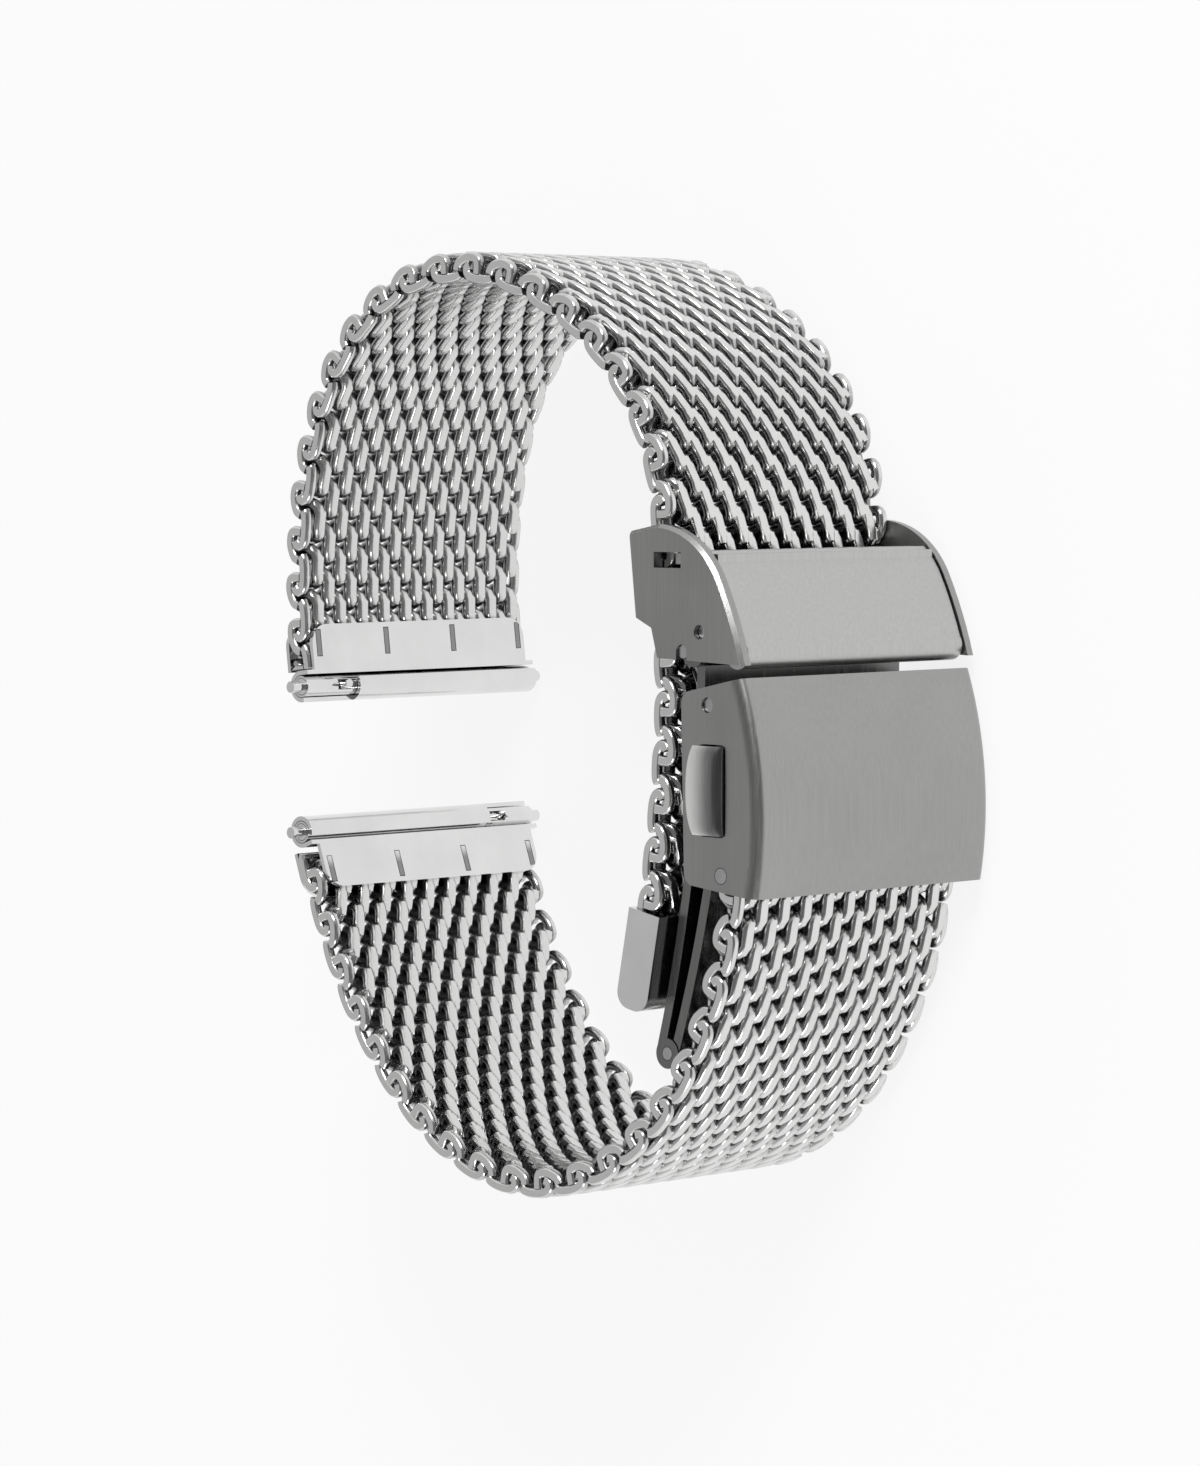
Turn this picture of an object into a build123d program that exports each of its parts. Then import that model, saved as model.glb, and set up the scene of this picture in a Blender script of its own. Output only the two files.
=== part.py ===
from build123d import *
import os
from math import cos, radians, sin

os.makedirs("parts", exist_ok=True)

# The band lies on its side edge: X and Y hold the loop, Z runs across the band.
# Until the last step the origin is the middle of the clasp cover's width,
# X runs along the clasp towards the adjustable end, and Y points into the wrist loop.

# Fit between the watch lugs and across the band
lug_width = 22.0
lug_clearance = 0.1
bar_tip_reach = 1.0
running_clearance = 0.04
seat_clearance = 0.05
overrun = 1.0

# Woven mesh, drawn as ground ribs one spiral wide
mesh_to_lug_gap = 0.6
mesh_thickness = 2.1
row_pitch = 1.6
rib_notch_width = 0.6
rib_notch_depth = 0.35
edge_notch_depth = 0.35
hinge_tip_gap = 0.03
rows_per_segment = 5
slider_rows = 7
tail_row_counts = (4, 8)

# How far each row turns from the one before it, in degrees, segment by segment
long_half_bends = (6.1, 4.6, 4.0, 5.5, 6.5, 5.2, 3.0, 2.2)
short_half_bends = (-3.4, -3.3, -4.6, -5.8, -5.6, -4.3, -2.9, -1.7)
tail_bends = (-2.0, -0.6)
slider_mesh_lean = 1.7
short_half_heading = 177.6

# Places of the clasp's pins: how far past or short of the cover's end, and how far into the loop
cover_hinge_setback = 1.81
cover_hinge_in = 3.71
strap_pin_setback = 1.38
strap_pin_in = 2.49
blade_hinge_past_cover = 10.75
blade_hinge_in = 9.1
slider_hinge_past_cover = 1.55
slider_hinge_in = 6.03
flap_hinge_past_cover = 1.5
flap_hinge_in = 1.95
catch_pin_past_cover = 2.85
catch_pin_in = 4.43
mesh_mouth_past_cover = 10.35
mesh_mouth_in = 8.7

# Pin sizes
cover_hinge_radius = 0.46
strap_pin_radius = 0.5
blade_hinge_radius = 0.42
slider_hinge_radius = 0.43
flap_hinge_radius = 0.4
catch_pin_radius = 0.43
pin_recess = 0.2

# Clasp cover, one folded sheet with two side flanges
clasp_sheet = 0.8
clasp_mesh_gap = 0.1
cover_half_length = 7.05
cover_front_at_top = 0.8
cover_front_at_bottom = -0.4
cover_front_at_crown = -0.7
cover_crown_along = 0.67
flange_back_at_top = 6.03
flange_back_at_bottom = 5.74
flange_setback_at_top = 1.1
flange_setback_at_bottom = 0.7
flange_corner_radius = 0.8
cover_bend_radius = 0.9

# Push buttons and the bracket between them
button_middle_along = -0.24
button_length_share = 0.4085
button_front_in = 2.19
button_depth = 3.12
button_round_radius = 1.4
button_square_radius = 0.3
button_reach = 0.6
button_bevel = 0.25
button_window_clearance = 0.1
button_shoulder_overlap = 0.35
button_shoulder_thickness = 0.3
button_stem_radius = 0.5
button_stem_end_gap = 3.55
button_spring_outer = 0.95
button_spring_inner = 0.62
catch_length = 1.0
catch_height = 0.8
catch_reach = 0.35
button_spring_length = 4.55
bracket_wall_thickness = 0.6
bracket_sheet = 0.4
bracket_length_share = 0.625
bracket_wall_share = 0.382
bracket_seat_gap = 0.2

# Folding blades
blade_thickness = 0.7
blade_side_gap = 1.1
blade_eye_wall = 0.54
blade_eye_side_gap = 0.3
blade_joint_offset = 0.65
blade_knuckle_share = 0.48
upper_blade_sag = 0.7
lower_blade_sag = 0.9
knuckle_side_gap = 0.1
knuckle_swing_gap = 0.12
blade_slot_length = 6.0
blade_slot_width = 5.0

# Slider housing, a U of sheet round the mesh
ear_foot_past_cover = 0.82
ear_foot_in = 0.59
ear_front_middle_past_cover = 3.53
ear_front_middle_in = 1.51
ear_shoulder_past_cover = 6.25
ear_shoulder_in = 2.75
ear_shoulder_turn = 27.4
ear_top_past_cover = 9.75
ear_top_in = 8.11
ear_back_past_cover = 9.22
ear_back_in = 10.97
ear_back_radius = 0.4
base_start_past_cover = 3.77
ear_step_past_cover = 3.02
ear_step_in = 8.73
ear_heel_past_cover = 1.1
ear_heel_in = 8.19
slider_base_thickness = 0.7
slider_mesh_clearance = 0.12
ear_window_past_cover = 6.92
ear_window_length = 1.02
ear_window_in = 6.07
ear_window_height = 2.43
ear_rim_bevel = 0.25

# Locking flap
flap_sheet = 0.75
flap_recess = 0.15
flap_side_gap = 0.15
flap_eye_radius = 1.0
flap_lip_past_cover = 8.05
flap_leg_past_cover = 7.15
flap_leg_thickness = 0.7
flap_pin_bite = 0.45
flap_rib_width = 1.2
flap_rib_at = 7.5
flap_rib_gap = 0.05

# Tail end cap
cap_length = 6.6
cap_sheet = 0.3
cap_grip = 4.4
cap_corner_radius = 1.1

# End fittings, one folded inner plate, one tabbed outer plate, and a spring bar
fitting_sheet = 0.3
barrel_radius = 1.1
barrel_offset = 0.6
barrel_seam_angle = 62
fitting_mesh_gap = 1.25
plate_side_margin = 0.2
plate_end_margin = 3.15
plate_corner_radius = 1.4
plate_gap = 0.05
tab_length = 1.8
tab_thickness = 0.4
tab_margin = 0.4
tab_clearance = 0.05
tab_inset = 0.8
tab_count = 4
retaining_rod_radius = 0.2
retaining_rod_inset = 0.4
retaining_rod_reach = 0.3
bar_wall = 0.14
bar_tip_radius = 0.4
lever_window_length = 4.6
lever_window_floor = 0.15
lever_knob_from_end = 3.2
lever_knob_radius = 0.3
lever_knob_height = 0.4
lever_slot_clearance = 0.06
lever_pin_tail = 1.6
fixed_pin_length = 12.0
bar_spring_wall = 0.2

# Sizes worked out from those above
mesh_width = lug_width - 2 * mesh_to_lug_gap
tab_pitch = (mesh_width - 2 * tab_inset) / (tab_count - 1)
slider_hinge_along = cover_half_length + slider_hinge_past_cover
flap_hinge_along = cover_half_length + flap_hinge_past_cover
catch_pin_along = cover_half_length + catch_pin_past_cover
mesh_mouth_along = cover_half_length + mesh_mouth_past_cover
ear_foot_along = cover_half_length + ear_foot_past_cover
ear_front_middle_along = cover_half_length + ear_front_middle_past_cover
ear_shoulder_along = cover_half_length + ear_shoulder_past_cover
ear_top_along = cover_half_length + ear_top_past_cover
ear_back_along = cover_half_length + ear_back_past_cover
base_start_along = cover_half_length + base_start_past_cover
ear_step_along = cover_half_length + ear_step_past_cover
ear_heel_along = cover_half_length + ear_heel_past_cover
ear_window_along = cover_half_length + ear_window_past_cover
flap_lip_along = cover_half_length + flap_lip_past_cover
flap_leg_along = cover_half_length + flap_leg_past_cover
cover_hinge_along = cover_half_length - cover_hinge_setback
strap_pin_along = strap_pin_setback - cover_half_length
blade_hinge_along = -cover_half_length - blade_hinge_past_cover
button_length = 2 * cover_half_length * button_length_share
bracket_length = button_length * bracket_length_share
bracket_wall_length = button_length * bracket_wall_share
barrel_length = lug_width - 2 * lug_clearance
bar_half_length = barrel_length / 2 + bar_tip_reach
mesh_half = mesh_thickness / 2
clasp_inner_half = mesh_width / 2 + clasp_mesh_gap
clasp_half = clasp_inner_half + clasp_sheet
clasp_width = 2 * clasp_half
blade_half = clasp_inner_half - blade_side_gap
blade_eye_half = clasp_inner_half - blade_eye_side_gap
cover_hinge = Vector(cover_hinge_along, cover_hinge_in)
strap_hinge = Vector(strap_pin_along, strap_pin_in)
blade_hinge = Vector(blade_hinge_along, blade_hinge_in)
slider_hinge = Vector(slider_hinge_along, slider_hinge_in)
flap_hinge = Vector(flap_hinge_along, flap_hinge_in)
catch_place = Vector(catch_pin_along, catch_pin_in)
mesh_mouth = Vector(mesh_mouth_along, mesh_mouth_in)
pieces = {}
joints = {}


def direction(angle):
    """Unit vector in the loop's plane at an angle in degrees."""
    return Vector(cos(radians(angle)), sin(radians(angle)))


def across_band(face, half_width):
    """Solid that runs across the band, alike on both sides of its middle."""
    return extrude(face, amount=half_width, both=True)


def pin(place, radius, half_width):
    """Round pin across the band."""
    return across_band(Pos(place.X, place.Y) * Circle(radius), half_width)


def block(low, high):
    """Box between two opposite corners."""
    size = Vector(*high) - Vector(*low)
    centre = (Vector(*high) + Vector(*low)) / 2
    return Pos(centre.X, centre.Y, centre.Z) * Box(size.X, size.Y, size.Z)


def mirrored(solid):
    """The same solid on the other side of the band's middle."""
    return mirror(solid, about=Plane.XY)


def arc_centre(first, second, third):
    """Centre of the circle through three points."""
    double_area = 2 * (first.X * (second.Y - third.Y) + second.X * (third.Y - first.Y)
                       + third.X * (first.Y - second.Y))
    squares = [point.X ** 2 + point.Y ** 2 for point in (first, second, third)]
    along = (squares[0] * (second.Y - third.Y) + squares[1] * (third.Y - first.Y)
             + squares[2] * (first.Y - second.Y))
    inward = (squares[0] * (third.X - second.X) + squares[1] * (first.X - third.X)
              + squares[2] * (second.X - first.X))
    return Vector(along / double_area, inward / double_area)


def bent_plate(start, end, sag, thickness):
    """Side view of a plate whose centre line sags to the right of start to end."""
    chord = (end - start).normalized()
    middle = (start + end) / 2 + Vector(-chord.Y, chord.X) * sag
    centre = arc_centre(start, middle, end)

    def shifted(point, amount):
        return point + (point - centre).normalized() * amount

    outer = [shifted(point, thickness / 2) for point in (start, middle, end)]
    inner = [shifted(point, -thickness / 2) for point in (end, middle, start)]
    edges = [ThreePointArc(*outer), Line(outer[2], inner[0]),
             ThreePointArc(*inner), Line(inner[2], outer[0])]
    return make_face(edges)


# Mesh: a chain of rigid segments, each a few spirals long


def walk(start, heading, bends, counts):
    """Rows of a run of mesh as start, end and heading, grouped in segments."""
    segments = []
    point = start
    for bend, count in zip(bends, counts):
        rows = []
        for _ in range(count):
            heading += bend
            end = point + direction(heading) * row_pitch
            rows.append((point, end, heading))
            point = end
        segments.append(rows)
    return segments


def mesh_side(rows, side, square_start, square_end):
    """Outline points along one face of a mesh segment."""
    points = []
    for index, (start, end, heading) in enumerate(rows):
        along = direction(heading)
        outward = direction(heading + 90) * side
        inset_start = 0 if square_start and index == 0 else rib_notch_width / 2
        inset_end = 0 if square_end and index == len(rows) - 1 else rib_notch_width / 2
        if index:
            points.append(start + outward * (mesh_half - rib_notch_depth))
        points.append(start + along * inset_start + outward * mesh_half)
        points.append(end - along * inset_end + outward * mesh_half)
    return points


def mesh_face(rows, square_start=False, square_end=False):
    """Side view of a segment: flat ribs, V grooves, and a point at each hinge."""
    left = mesh_side(rows, 1, square_start, square_end)
    right = mesh_side(rows, -1, square_start, square_end)
    first_tip = [] if square_start else [rows[0][0] + direction(rows[0][2]) * hinge_tip_gap]
    last_tip = [] if square_end else [rows[-1][1] - direction(rows[-1][2]) * hinge_tip_gap]
    outline = first_tip + left + last_tip + right[::-1]
    return make_face(Polyline(*outline, close=True))


def edge_notches(rows):
    """V notches in both side edges, one between each pair of end hooks."""
    notches = []
    for start, _, heading in rows[1::2]:
        along = direction(heading)
        tip = mesh_width / 2 - edge_notch_depth
        base = mesh_width / 2 + overrun
        spread = rib_notch_width / 2 * (edge_notch_depth + overrun) / edge_notch_depth
        wedge = Plane(origin=(start.X, start.Y, 0), x_dir=(along.X, along.Y, 0),
                      z_dir=(along.Y, -along.X, 0))
        for side in (1, -1):
            outline = Polyline((0, side * tip), (spread, side * base),
                               (-spread, side * base), close=True)
            notches.append(extrude(wedge * make_face(outline), amount=mesh_thickness, both=True))
    return notches


def mesh_segment(rows, square_start=False, square_end=False):
    """One rigid run of rows."""
    solid = across_band(mesh_face(rows, square_start, square_end), mesh_width / 2)
    for notch in edge_notches(rows):
        solid -= notch
    return solid


def make_meshes():
    """Both halves of the band, the run inside the slider, and the loose tail."""
    counts = (rows_per_segment,) * len(long_half_bends)
    long_half = walk(mesh_mouth, slider_mesh_lean, long_half_bends, counts)
    counts = (rows_per_segment,) * len(short_half_bends)
    short_half = walk(strap_hinge, short_half_heading, short_half_bends, counts)
    in_slider = walk(mesh_mouth, slider_mesh_lean + 180, (0,), (slider_rows,))
    tail = walk(in_slider[0][-1][1], slider_mesh_lean + 180, tail_bends, tail_row_counts)

    pieces["slider_mesh"] = mesh_segment(in_slider[0])
    for number, rows in enumerate(long_half, 1):
        last = number == len(long_half)
        pieces[f"long_mesh_{number}"] = mesh_segment(rows, square_end=last)
        joints[f"long_mesh_{number}"] = rows[0][0]
    for number, rows in enumerate(short_half, 1):
        last = number == len(short_half)
        solid = mesh_segment(rows, square_start=number == 1, square_end=last)
        if number == 1:
            solid += pin(strap_hinge, mesh_half, mesh_width / 2)
            solid -= pin(strap_hinge, strap_pin_radius + running_clearance, mesh_width)
        pieces[f"short_mesh_{number}"] = solid
        joints[f"short_mesh_{number}"] = rows[0][0]
    for number, rows in enumerate(tail, 1):
        last = number == len(tail)
        pieces[f"tail_mesh_{number}"] = mesh_segment(rows, square_end=last)
        joints[f"tail_mesh_{number}"] = rows[0][0]
    return long_half[-1][-1], short_half[-1][-1], tail[-1][-1]


def make_end_cap(last_row):
    """Folded and polished cap over the cut end of the tail."""
    _, end, heading = last_row
    outer_half = mesh_half + seat_clearance + cap_sheet
    width = mesh_width / 2 + seat_clearance + cap_sheet
    outline = Pos(cap_length / 2 - cap_grip, 0) * Rectangle(cap_length, 2 * outer_half)
    outline = fillet(outline.vertices().group_by(Axis.X)[-1], cap_corner_radius)
    body = across_band(outline, width)
    socket = block((-cap_grip - overrun, -mesh_half - seat_clearance, -width + cap_sheet),
                   (seat_clearance, mesh_half + seat_clearance, width - cap_sheet))
    place = Pos(end.X, end.Y, 0) * Rot(0, 0, heading)
    pieces["tail_end_cap"] = place * (body - socket)


# Clasp cover, buttons and bracket


def cover_front_points():
    """Three points of the cover's arched front, from top to bottom."""
    return (Vector(cover_half_length, cover_front_at_top),
            Vector(cover_crown_along, cover_front_at_crown),
            Vector(-cover_half_length, cover_front_at_bottom))


def button_outline(growth):
    """Button seen from its side of the band, grown by a clearance all round."""
    length = button_length + 2 * growth
    depth = button_depth + 2 * growth
    face = Rectangle(length, depth)
    rounded = face.vertices().group_by(Axis.Y)[-1]
    face = fillet(rounded, button_round_radius + growth)
    square = face.vertices().group_by(Axis.Y)[0]
    face = fillet(square, button_square_radius + growth)
    return Pos(button_middle_along, button_front_in + button_depth / 2) * face


def make_cover():
    """Arched front and two flanges from one sheet, with pin holes and button windows."""
    top, crown, bottom = cover_front_points()
    back_top = Vector(cover_half_length - flange_setback_at_top, flange_back_at_top)
    back_bottom = Vector(flange_setback_at_bottom - cover_half_length, flange_back_at_bottom)
    back = FilletPolyline(bottom, back_bottom, back_top, top, radius=flange_corner_radius)
    solid = across_band(make_face([back, ThreePointArc(top, crown, bottom)]), clasp_half)
    front_edges = [edge for edge in solid.edges().filter_by(GeomType.CIRCLE)
                   if edge.length > cover_half_length]
    solid = fillet(front_edges, cover_bend_radius)
    centre = arc_centre(top, crown, bottom)
    inner_radius = (crown - centre).length - clasp_sheet
    solid -= across_band(Pos(centre.X, centre.Y) * Circle(inner_radius), clasp_inner_half)
    solid -= pin(cover_hinge, cover_hinge_radius + running_clearance, clasp_width)
    solid -= pin(strap_hinge, strap_pin_radius + running_clearance, clasp_width)
    solid -= across_band(button_outline(button_window_clearance), clasp_width)
    pieces["clasp_cover"] = solid
    pieces["cover_hinge_pin"] = pin(cover_hinge, cover_hinge_radius, clasp_half - pin_recess)
    pieces["strap_pin"] = pin(strap_hinge, strap_pin_radius, clasp_half)


def make_buttons():
    """Two push buttons with stems, springs and the bracket that guides them."""
    shoulder_top = clasp_inner_half - seat_clearance
    shoulder_foot = shoulder_top - button_shoulder_thickness
    button_top = clasp_half + button_reach
    cap = extrude(button_outline(0), amount=button_top - shoulder_foot)
    cap = chamfer(cap.faces().sort_by(Axis.Z)[-1].edges(), button_bevel)
    shoulder = extrude(button_outline(button_shoulder_overlap), amount=button_shoulder_thickness)
    middle_in = button_front_in + button_spring_outer / 2
    stem_length = shoulder_foot - button_stem_end_gap
    stem = Pos(button_middle_along, middle_in, -stem_length / 2) \
        * Cylinder(button_stem_radius, stem_length)
    catch_start = button_middle_along - button_length / 2
    catch_in = button_front_in + button_depth / 2
    catch = block((catch_start, catch_in - catch_height, -catch_reach),
                  (catch_start + catch_length, catch_in, 0))
    button = Pos(0, 0, shoulder_foot) * (cap + shoulder + stem + catch)
    pieces["push_button_near"] = button
    pieces["push_button_far"] = mirrored(button)

    wall_outer = shoulder_foot - button_spring_length
    wall_inner = wall_outer - bracket_wall_thickness
    ring = Pos(button_middle_along, middle_in) * (Circle(button_spring_outer)
                                                  - Circle(button_spring_inner))
    spring = Pos(0, 0, wall_outer) * extrude(ring, amount=button_spring_length)
    pieces["button_spring_near"] = spring
    pieces["button_spring_far"] = mirrored(spring)

    floor = cover_front_at_crown + clasp_sheet + bracket_seat_gap
    low_along = button_middle_along - bracket_length / 2
    wall_along = button_middle_along - bracket_wall_length / 2
    bracket = block((low_along, floor, -wall_outer),
                    (low_along + bracket_length, floor + bracket_sheet, wall_outer))
    wall = block((wall_along, floor, wall_inner),
                 (wall_along + bracket_wall_length, middle_in + button_spring_outer, wall_outer))
    bracket += wall + mirrored(wall)
    bore = Vector(button_middle_along, middle_in)
    pieces["button_bracket"] = bracket - pin(bore, button_stem_radius + running_clearance,
                                             clasp_width)
    joints["button_spring_foot"] = Vector(0, 0, wall_outer)


# Folding blades


def eye(place, radius):
    """Round end of a blade about its pin."""
    return Pos(place.X, place.Y) * Circle(radius)


def make_blades():
    """Upper blade from the cover to the fold, lower blade from the fold to the slider."""
    fold_radius = blade_joint_offset + blade_thickness / 2
    knuckle_half = blade_half * blade_knuckle_share
    swing = fold_radius + knuckle_swing_gap
    drop = Vector(0, blade_joint_offset)
    fold_bore = pin(blade_hinge, blade_hinge_radius + running_clearance, clasp_width)
    slot = block((-blade_slot_length / 2, -overrun, -blade_slot_width / 2),
                 (blade_slot_length / 2, overrun, blade_slot_width / 2))

    upper = across_band(bent_plate(cover_hinge, blade_hinge - drop, upper_blade_sag,
                                   blade_thickness), blade_half)
    eye_radius = cover_hinge_radius + running_clearance + blade_eye_wall
    upper += across_band(eye(cover_hinge, eye_radius), blade_eye_half)
    upper += across_band(eye(blade_hinge, fold_radius), knuckle_half)
    for side in (1, -1):
        upper -= Pos(0, 0, side * (knuckle_half + blade_half)) \
            * pin(blade_hinge, swing, blade_half)
    upper -= pin(cover_hinge, cover_hinge_radius + running_clearance, clasp_width)
    pieces["upper_blade"] = upper - fold_bore

    lower = across_band(bent_plate(slider_hinge, blade_hinge + drop, lower_blade_sag,
                                   blade_thickness), blade_half)
    eye_radius = slider_hinge_radius + running_clearance + blade_eye_wall
    lower += across_band(eye(slider_hinge, eye_radius), blade_eye_half)
    lower += across_band(eye(blade_hinge, fold_radius), blade_half)
    lower -= pin(blade_hinge, swing, knuckle_half + knuckle_side_gap)
    lower -= pin(slider_hinge, slider_hinge_radius + running_clearance, clasp_width)
    middle = (slider_hinge + blade_hinge) / 2
    pieces["lower_blade"] = lower - fold_bore - Pos(middle.X, middle.Y, 0) * slot
    pieces["blade_hinge_pin"] = pin(blade_hinge, blade_hinge_radius, blade_half)
    pieces["slider_hinge_pin"] = pin(slider_hinge, slider_hinge_radius, clasp_half - pin_recess)


# Slider housing and locking flap


def mesh_line_in(along):
    """Height of the mesh's middle inside the slider at a place along it."""
    return mesh_mouth_in - (mesh_mouth_along - along) * sin(radians(slider_mesh_lean))


def ear_outline():
    """Side view of the slider: arched front, straight back."""
    foot = Vector(ear_foot_along, ear_foot_in)
    front_middle = Vector(ear_front_middle_along, ear_front_middle_in)
    shoulder = Vector(ear_shoulder_along, ear_shoulder_in)
    top = Vector(ear_top_along, ear_top_in)
    back = Vector(ear_back_along, ear_back_in)
    base_start = Vector(base_start_along, mesh_line_in(base_start_along) + mesh_half
                        + slider_mesh_clearance + slider_base_thickness)
    step = Vector(ear_step_along, ear_step_in)
    heel = Vector(ear_heel_along, ear_heel_in)
    edges = [ThreePointArc(foot, front_middle, shoulder),
             TangentArc(shoulder, top, tangent=direction(ear_shoulder_turn)),
             FilletPolyline(top, back, base_start, radius=ear_back_radius),
             Polyline(base_start, step, heel, foot)]
    return make_face(edges)


def make_slider():
    """Two ears joined by a base plate behind the mesh, cut for window, pins and notch."""
    outline = ear_outline()
    ear = extrude(outline, amount=clasp_sheet)
    ear = chamfer(ear.faces().sort_by(Axis.Z)[-1].edges().filter_by(GeomType.CIRCLE),
                  ear_rim_bevel)
    ear = Pos(0, 0, clasp_inner_half) * ear
    base_middle = (base_start_along + ear_back_along) / 2
    base_in = (mesh_line_in(base_middle) + mesh_half + slider_mesh_clearance
               + slider_base_thickness / 2)
    base = Box(ear_back_along - base_start_along, slider_base_thickness,
               2 * (clasp_half - ear_rim_bevel))
    base = Pos(base_middle, base_in, 0) * Rot(0, 0, slider_mesh_lean) * base
    solid = ear + mirrored(ear) + base
    solid -= pin(catch_place, catch_pin_radius + running_clearance, clasp_width)
    notch_half = slider_hinge_radius + running_clearance
    solid -= pin(slider_hinge, notch_half, clasp_width)
    solid -= block((ear_foot_along - overrun, slider_hinge_in - notch_half, -clasp_half - overrun),
                   (slider_hinge_along, slider_hinge_in + notch_half, clasp_half + overrun))
    solid -= block((ear_window_along, ear_window_in, -clasp_half - overrun),
                   (ear_window_along + ear_window_length, ear_window_in + ear_window_height,
                    clasp_half + overrun))
    solid -= pin(flap_hinge, flap_hinge_radius + running_clearance,
                 clasp_inner_half + flap_pin_bite + seat_clearance)
    pieces["slider_housing"] = solid
    pieces["flap_pin"] = pin(flap_hinge, flap_hinge_radius, clasp_inner_half + flap_pin_bite)
    pieces["flap_catch_pin"] = pin(catch_place, catch_pin_radius, clasp_half - 2 * pin_recess)


def make_flap():
    """Curved flap whose leg clamps the mesh against the slider's base plate."""
    half_width = clasp_inner_half - flap_side_gap
    outline = ear_outline()
    sheet = offset(outline, amount=-flap_recess, kind=Kind.INTERSECTION) \
        - offset(outline, amount=-flap_recess - flap_sheet, kind=Kind.INTERSECTION)
    leg_tip = mesh_line_in(flap_leg_along) - mesh_half - slider_mesh_clearance
    keep = make_face(Polyline((flap_hinge_along, ear_foot_in - overrun),
                              (flap_lip_along, ear_foot_in - overrun),
                              (flap_lip_along, leg_tip),
                              (flap_leg_along, slider_hinge_in),
                              (flap_hinge_along, flap_hinge_in), close=True))
    leg = make_face(Polyline((flap_leg_along, ear_shoulder_in + flap_sheet + flap_recess),
                             (flap_leg_along + flap_leg_thickness,
                              ear_shoulder_in + flap_sheet + flap_recess),
                             (flap_leg_along + flap_leg_thickness, leg_tip),
                             (flap_leg_along, leg_tip), close=True))
    side = (sheet & keep) + leg + eye(flap_hinge, flap_eye_radius)
    solid = across_band(side, half_width)
    solid -= pin(flap_hinge, flap_hinge_radius + running_clearance, clasp_width)
    rib_face = make_face(Polyline((catch_pin_along - catch_pin_radius, ear_front_middle_in
                                   + flap_recess + flap_sheet / 2),
                                  (catch_pin_along + catch_pin_radius, ear_front_middle_in
                                   + flap_recess + flap_sheet / 2),
                                  (catch_pin_along + catch_pin_radius, catch_pin_in),
                                  (catch_pin_along - catch_pin_radius, catch_pin_in),
                                  close=True)) \
        - Pos(catch_pin_along, catch_pin_in) * Circle(catch_pin_radius + flap_rib_gap)
    for side_sign in (1, -1):
        solid += Pos(0, 0, side_sign * flap_rib_at) * across_band(rib_face, flap_rib_width / 2)
    pieces["locking_flap"] = solid


# End fittings, drawn once round the barrel: X into the mesh, Y towards the wrist


def fitting_plane(last_row, wrist_side):
    """Frame at the barrel's middle from the last row of a mesh half."""
    _, end, heading = last_row
    forward = direction(heading)
    wrist = direction(heading + 90 * wrist_side)
    place = end + forward * fitting_mesh_gap + wrist * barrel_offset
    return Plane(origin=(place.X, place.Y, 0), x_dir=(-forward.X, -forward.Y, 0),
                 z_dir=(0, 0, -wrist_side))


def plate_outline(start, z_half):
    """Plate seen from the wrist, with two large corners away from the barrel."""
    length = barrel_radius + plate_end_margin - start
    face = Pos(start + length / 2, 0) * Rectangle(length, 2 * z_half)
    return fillet(face.vertices().group_by(Axis.X)[-1], plate_corner_radius)


def tab_places():
    """Places of the tabs across the band."""
    return [(index - (tab_count - 1) / 2) * tab_pitch for index in range(tab_count)]


def tab_block(growth, low, high):
    """The row of tabs between two depths, grown by a clearance."""
    end = barrel_radius + plate_end_margin - tab_margin
    blocks = [block((end - tab_length - growth, low, place - tab_thickness / 2 - growth),
                    (end + growth, high, place + tab_thickness / 2 + growth))
              for place in tab_places()]
    return blocks


def flat_plate(start, low_in):
    """Sheet plate lying along the mesh face, its low face at a given depth."""
    face = plate_outline(start, mesh_width / 2 - plate_side_margin)
    return Pos(0, low_in + fitting_sheet, 0) * Rot(90, 0, 0) * extrude(face, amount=fitting_sheet)


def bar_pin(radius, inner_end, shoulder, tip_end):
    """Plunger inside the bar's tube with a thinner tip that stands out of it."""
    body = Pos(0, 0, inner_end) * extrude(Circle(radius), amount=shoulder - inner_end)
    return body + Pos(0, 0, shoulder) * extrude(Circle(bar_tip_radius), amount=tip_end - shoulder)


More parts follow.
